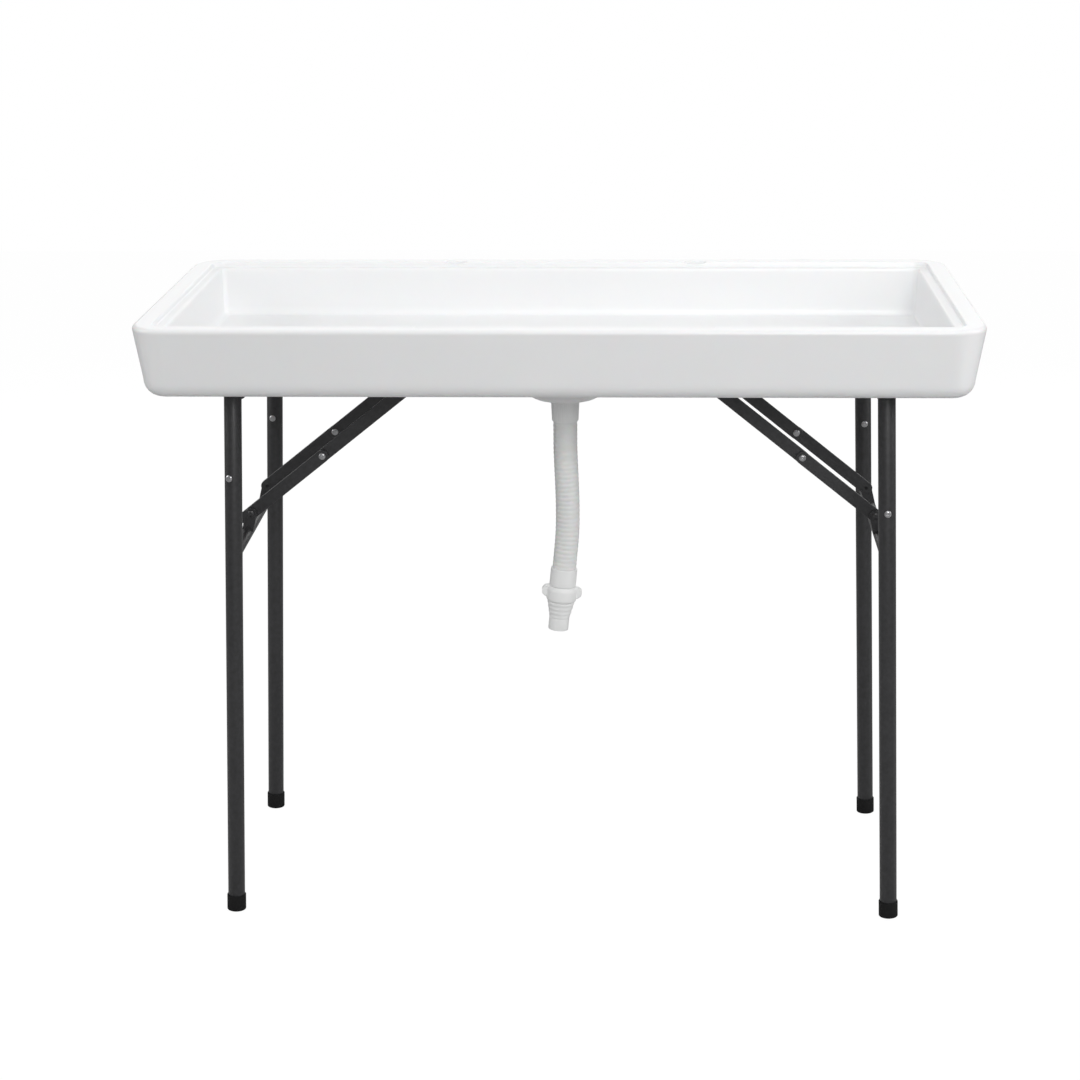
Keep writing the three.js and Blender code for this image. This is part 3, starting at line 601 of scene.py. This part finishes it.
# Hinge blocks are glass-filled nylon mouldings that the top bars turn in. Two zinc-plated screws hold
# each of them, and one screw at each end holds the steel brace anchors.
black_nylon = finish_of("black_nylon", (0.022, 0.022, 0.023), 0.5, grain=800, bump=0.06)
zinc_plate = finish_of("zinc_plate", (0.42, 0.42, 0.43), 0.34, grain=1500, bump=0.03, cloud=60,
                       spread=0.12, metallic=0.9)
textured_coat = finish_of("black_textured_coat", (0.015, 0.015, 0.0165), 0.4, grain=2600, bump=0.22,
                          cloud=170, spread=0.9, Specular_IOR_Level=0.75)
for side in ("left", "right"):
    for row in ("front", "rear"):
        show_solid(f"{side}_hinge_block_{row}", black_nylon, edge=0.8)
        show_solid(f"{side}_hinge_screw_{row}_inner", zinc_plate, edge=0.2)
        show_solid(f"{side}_hinge_screw_{row}_outer", zinc_plate, edge=0.2)
        show_solid(f"{side}_anchor_screw_{row}", zinc_plate, edge=0.2)
    show_solid(f"{side}_brace_anchor", textured_coat, edge=0.4)
    show_solid(f"{side}_anchor_pin", zinc_plate, edge=0.2)

# Each leg frame is two round steel legs, a top bar that turns in the hinge blocks, and a crossbar,
# all welded and powder coated. Each leg carries a dome-headed rivet and a rubber foot.
leg_splay = math.radians(1.9)
leg_radius = half_width("right_leg_rear")
tube_wall = 1.2
tube_edge = 0.4
leg_y = middle_of("right_leg_rear")[1]
leg_top = 8
leg_length = pivot_z / math.cos(leg_splay)
crossbar_distance = 234
crossbar_x = pivot_x + crossbar_distance * math.sin(leg_splay)
crossbar_z = pivot_z - crossbar_distance * math.cos(leg_splay)
crossbar_radius = 8.8
top_bar_radius = 8
foot_radius = half_width("right_foot_rear")
foot_height = 24
foot_sole = 5.2
foot_edge = 1.4
foot_clearance = 0.3
leg_foot_gap = 0.2
weld_bite = 2
weld_section = [(-0.3, 5.4), (1.0, 4.2), (2.2, 1.5), (-0.3, 0)]


def leg_frame_place(sx, sy):
    """The frame of a leg: its Z runs up the leg from the pivot line."""
    return Matrix.Translation(Vector((sx * pivot_x, sy * leg_y, pivot_z)) * MM) \
        @ Matrix.Rotation(-sx * leg_splay, 4, "Y")


def tube_profile(radius, low, high):
    """The section of a plain tube with eased ends, in millimetres."""
    bore = radius - tube_wall
    return rounded([(bore, low), (radius, low), (radius, high), (bore, high)], tube_edge, steps=2)


def cross_tube(name, x, z, radius):
    """A tube along Y between the two legs, with a bead of weld at each end."""
    lie = Matrix.Translation(Vector((x, 0, z)) * MM) @ Matrix.Rotation(math.pi / 2, 4, "X")
    reach = leg_y - leg_radius + weld_bite
    bead = [(radius + rise, reach - back) for rise, back in weld_section]
    piece = turned(name, in_mm(tube_profile(radius, -reach, reach)), place=lie)
    for flip in (1, -1):
        weld = turned("weld", in_mm([(r, flip * h) for r, h in bead][::flip]), place=lie)
        with bpy.context.temp_override(active_object=piece, selected_editable_objects=[piece, weld]):
            bpy.ops.object.join()
    return smooth(piece)


def strap(name, start, end, half, low, high, edge=0.5):
    """A flat bar with round ends between two places in the XZ plane, in millimetres."""
    start = Vector(start)
    end = Vector(end)
    along = (end - start).normalized()
    square = Vector((-along.y, along.x))
    end_steps = 20
    rings = []
    for y, shrink in ((low, edge), (low + edge, 0), (high - edge, 0), (high, edge)):
        ring = []
        reach = half - shrink
        for centre, turn in ((end, -math.pi / 2), (start, math.pi / 2)):
            for step in range(end_steps + 1):
                angle = turn + math.pi * step / end_steps
                p = centre + along * reach * math.cos(angle) + square * reach * math.sin(angle)
                ring.append(Vector((p.x, y, p.y)) * MM)
        rings.append(ring[::-1])
    return smooth(loft(name, rings, False))


axis_gap = 0.05
rivet_head = 5.2
rivet_dome = 2.2
rivet_crown = 3.1
rivet_edge = 0.9
rivet_shank = 3.2


def rivet_profile(length):
    """A domed rivet head from the axis out, and its shank, so many millimetres long."""
    return rounded([
        (axis_gap, -rivet_dome), (rivet_crown, -rivet_dome), (rivet_head, -rivet_edge), (rivet_head, 0),
        (rivet_shank, 0), (rivet_shank, length), (axis_gap, length),
    ], rivet_edge)


arm_y = 79.5
plate = 3
plate_gap = 0.3
plate_step = plate + plate_gap
plate_layers = ["upper link", "lower link", "lug", "outside"]


def plate_span(layer):
    """How far from the middle of the table a layer of a brace arm starts and ends."""
    start = arm_y - plate_gap / 2 - plate + plate_layers.index(layer) * plate_step
    return start, start + plate


foot_pivot = joint_place("right_lower_link_swing")
lug_half = 8.5
rivet_sides = 32
matte_rubber = finish_of("matte_foot_rubber", (0.007, 0.007, 0.007), 0.75, grain=900, bump=0.12,
                         Specular_IOR_Level=0.25)
# Each leg rivet has a height of its own, and all but one are turned a little round the leg.
leg_rivet_places = {
    ("left", "front"): (680, -0.35), ("left", "rear"): (673, -0.15),
    ("right", "front"): (631, 0), ("right", "rear"): (666, 0.1),
}
leg_rivet_length = 5
leg_rivet = rivet_profile(leg_rivet_length)
foot_bore = leg_radius + foot_clearance
foot_low = -leg_length
foot_top = foot_low + foot_height
sole_top = foot_low + foot_sole
foot_profile = rounded([
    (axis_gap, foot_low), (foot_radius, foot_low), (foot_radius, foot_top), (foot_bore, foot_top),
    (foot_bore, sole_top), (axis_gap, sole_top),
], foot_edge)
for side, sx in (("left", -1), ("right", 1)):
    body = f"{side}_leg_frame"
    for row, sy in (("front", -1), ("rear", 1)):
        stand = leg_frame_place(sx, sy)
        leg_low = sole_top + leg_foot_gap
        leg_profile = tube_profile(leg_radius, leg_low, leg_top)
        leg = smooth(turned(f"{side}_leg_tube_{row}", in_mm(leg_profile), place=stand))
        dress(leg, textured_coat, "black_steel", body, f"{side}_leg_{row}")

        foot = turned(f"{side}_foot_cap_{row}", in_mm(foot_profile), place=stand)
        # The sole is level with the floor, although the leg leans.
        for vertex in foot.data.vertices:
            vertex.co.z = max(vertex.co.z, 0)
        dress(smooth(foot), matte_rubber, "foot_rubber", body, f"{side}_foot_{row}")

        height, turn = leg_rivet_places[side, row]
        drop = (pivot_z - height) / math.cos(leg_splay)
        rivet_place = stand @ Matrix.Translation((0, 0, -drop * MM)) @ Matrix.Rotation(turn, 4, "Z") \
            @ Matrix.Translation((0, -foot_bore * MM, 0)) @ Matrix.Rotation(-math.pi / 2, 4, "X")
        stud = smooth(turned(f"{side}_leg_stud_{row}", in_mm(leg_rivet), rivet_sides, rivet_place))
        dress(stud, zinc_plate, "zinc_steel", body, f"{side}_leg_rivet_{row}")

    bar = cross_tube(f"{side}_top_tube", sx * pivot_x, pivot_z, top_bar_radius)
    dress(bar, textured_coat, "black_steel", body, f"{side}_top_bar")
    bar = cross_tube(f"{side}_cross_tube", sx * crossbar_x, crossbar_z, crossbar_radius)
    for sy in (-1, 1):
        low, high = sorted(sy * y for y in plate_span("lug"))
        lug = strap("lug", (sx * crossbar_x, crossbar_z), (sx * foot_pivot[0], foot_pivot[1]), lug_half,
                    low, high)
        with bpy.context.temp_override(active_object=bar, selected_editable_objects=[bar, lug]):
            bpy.ops.object.join()
    dress(bar, textured_coat, "black_steel", body, f"{side}_crossbar")

# Each brace arm is two flat steel links with round ends, joined by a rivet at the knee, where the arm
# breaks as the legs fold. The upper link swings on the anchor's pin, the lower on the crossbar's lug.
knee = tuple(middle_of("right_knee_rivet_rear")[::2])
knee_head_y = plate_span("lug")[0]
foot_head_y = plate_span("outside")[0]
# The front lower links run on past their pivots on the lugs.
lower_past = {"front": 12, "rear": 0}
link_half = 9.7
tail_sink = 0.1
tail_crown = 3.4
tail_edge = 0.8
tail_profile = rounded([
    (axis_gap, -tail_sink), (rivet_head, -tail_sink), (rivet_head, rivet_edge), (tail_crown, rivet_dome),
    (axis_gap, rivet_dome),
], tail_edge)
knee_rivet = rivet_profile(plate_step)
foot_rivet = rivet_profile(2 * plate_step)
arm_rivets = [
    ("knee_stud", "knee_rivet", knee_rivet, knee, knee_head_y, zinc_plate, "zinc_steel"),
    ("foot_link_stud", "foot_link_rivet", foot_rivet, foot_pivot, foot_head_y, textured_coat,
     "black_steel"),
]


def rivet_seat(sx, sy, x, y, z):
    """The place of a rivet that lies along Y, its shank towards the middle of the table."""
    return Matrix.Translation(Vector((sx * x, sy * y, z)) * MM) @ Matrix.Rotation(sy * math.pi / 2, 4, "X")


for side, sx in (("left", -1), ("right", 1)):
    for row, sy in (("front", -1), ("rear", 1)):
        low, high = sorted(sy * y for y in plate_span("upper link"))
        upper = strap(f"{side}_upper_strap_{row}", (sx * anchor_x, anchor_z), (sx * knee[0], knee[1]),
                      link_half, low, high)
        tail_place = rivet_seat(sx, sy, knee[0], plate_span("upper link")[0], knee[1])
        tail = smooth(turned(f"{side}_knee_tail_{row}", in_mm(tail_profile), rivet_sides, tail_place))
        dress(tail, zinc_plate, "zinc_steel", f"{side}_upper_links")
        dress(upper, textured_coat, "black_steel", f"{side}_upper_links", f"{side}_upper_link_{row}")

        low, high = sorted(sy * y for y in plate_span("lower link"))
        past = (Vector(foot_pivot) - Vector(knee)).normalized() * lower_past[row]
        lower = strap(f"{side}_lower_strap_{row}", (sx * knee[0], knee[1]),
                      (sx * (foot_pivot[0] + past.x), foot_pivot[1] + past.y), link_half, low, high)
        dress(lower, textured_coat, "black_steel", f"{side}_lower_links", f"{side}_lower_link_{row}")

        for name, node, profile, (x, z), y, finish, slot_name in arm_rivets:
            seat = rivet_seat(sx, sy, x, y, z)
            stud = smooth(turned(f"{side}_{name}_{row}", in_mm(profile), rivet_sides, seat))
            dress(stud, finish, slot_name, f"{side}_lower_links", f"{side}_{node}_{row}")

# The floor is a plain white studio sheet. The camera sees it nearly as bright as the backdrop, with a
# faint shadow of the table, and the table sees it as a matt grey.
floor_reach = 12
floor_drop = 1 * MM
floor_lift = 0.9
floor_grey = 0.46
floor_glow = 1.08
bpy.ops.mesh.primitive_plane_add(size=floor_reach)
ground = bpy.context.object
ground.name = "floor"
ground.location.z = -floor_drop
pale = bpy.data.materials.new("pale_floor")
pale.use_nodes = True
pale_nodes = pale.node_tree.nodes
pale_links = pale.node_tree.links
pale_nodes.clear()
rays = pale_nodes.new("ShaderNodeLightPath")
lift = pale_nodes.new("ShaderNodeMath")
lift.operation = "MULTIPLY"
lift.inputs[1].default_value = floor_lift
matt = pale_nodes.new("ShaderNodeBsdfDiffuse")
matt.inputs["Color"].default_value = (floor_grey, floor_grey, floor_grey, 1)
glow = pale_nodes.new("ShaderNodeEmission")
glow.inputs["Color"].default_value = (1, 1, 1, 1)
glow.inputs["Strength"].default_value = floor_glow
blend = pale_nodes.new("ShaderNodeMixShader")
out = pale_nodes.new("ShaderNodeOutputMaterial")
pale_links.new(rays.outputs["Is Camera Ray"], lift.inputs[0])
pale_links.new(lift.outputs["Value"], blend.inputs["Fac"])
pale_links.new(matt.outputs["BSDF"], blend.inputs[1])
pale_links.new(glow.outputs["Emission"], blend.inputs[2])
pale_links.new(blend.outputs["Shader"], out.inputs["Surface"])
ground.data.materials.append(pale)
ground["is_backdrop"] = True

# Soft daylight comes from all round, brighter from above. One large lamp hangs overhead, and one lamp
# stands on each of the four sides, the front one the strongest.
sky_low = -0.1
sky_high = 0.8
light_low = 0.2
light_high = 0.45
backdrop_light = 1.0
world = bpy.data.worlds.new("studio")
bpy.context.scene.world = world
world.use_nodes = True
sky_nodes = world.node_tree.nodes
sky_links = world.node_tree.links
sky = sky_nodes["Background"]
sky.inputs["Color"].default_value = (1, 1, 1, 1)
sky_rays = sky_nodes.new("ShaderNodeLightPath")
sky_level = sky_nodes.new("ShaderNodeMapRange")
sky_way = sky_nodes.new("ShaderNodeTexCoord")
sky_axes = sky_nodes.new("ShaderNodeSeparateXYZ")
sky_rise = sky_nodes.new("ShaderNodeMapRange")
sky_rise.inputs["From Min"].default_value = sky_low
sky_rise.inputs["From Max"].default_value = sky_high
sky_rise.inputs["To Min"].default_value = light_low
sky_rise.inputs["To Max"].default_value = light_high
sky_links.new(sky_way.outputs["Generated"], sky_axes.inputs["Vector"])
sky_links.new(sky_axes.outputs["Z"], sky_rise.inputs["Value"])
sky_links.new(sky_rise.outputs["Result"], sky_level.inputs["To Min"])
sky_level.inputs["To Max"].default_value = backdrop_light
sky_links.new(sky_rays.outputs["Is Camera Ray"], sky_level.inputs["Value"])
sky_links.new(sky_level.outputs["Result"], sky.inputs["Strength"])


def lamp(name, place, aim, size, power):
    """A square soft lamp that faces the aim."""
    light = bpy.data.lights.new(name, "AREA")
    light.size = size
    light.energy = power
    stand = bpy.data.objects.new(name, light)
    bpy.context.scene.collection.objects.link(stand)
    stand.location = place
    stand.rotation_euler = (Vector(aim) - Vector(place)).to_track_quat("-Z", "Y").to_euler()


lamp("overhead", (0, 0, 3.2), (0, 0, 0.8), size=2.4, power=13)
lamp("rear", (0, 3.0, 2.2), (0, 0, 0.9), size=3.2, power=34)
lamp("right", (3.0, -0.5, 1.95), (0, 0, 0.85), size=1.2, power=28)
lamp("left", (-3.0, -0.5, 1.95), (0, 0, 0.85), size=1.2, power=24)
lamp("front", (0.8, -3.3, 2.35), (0, 0, 0.6), size=1.4, power=61)

low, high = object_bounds()
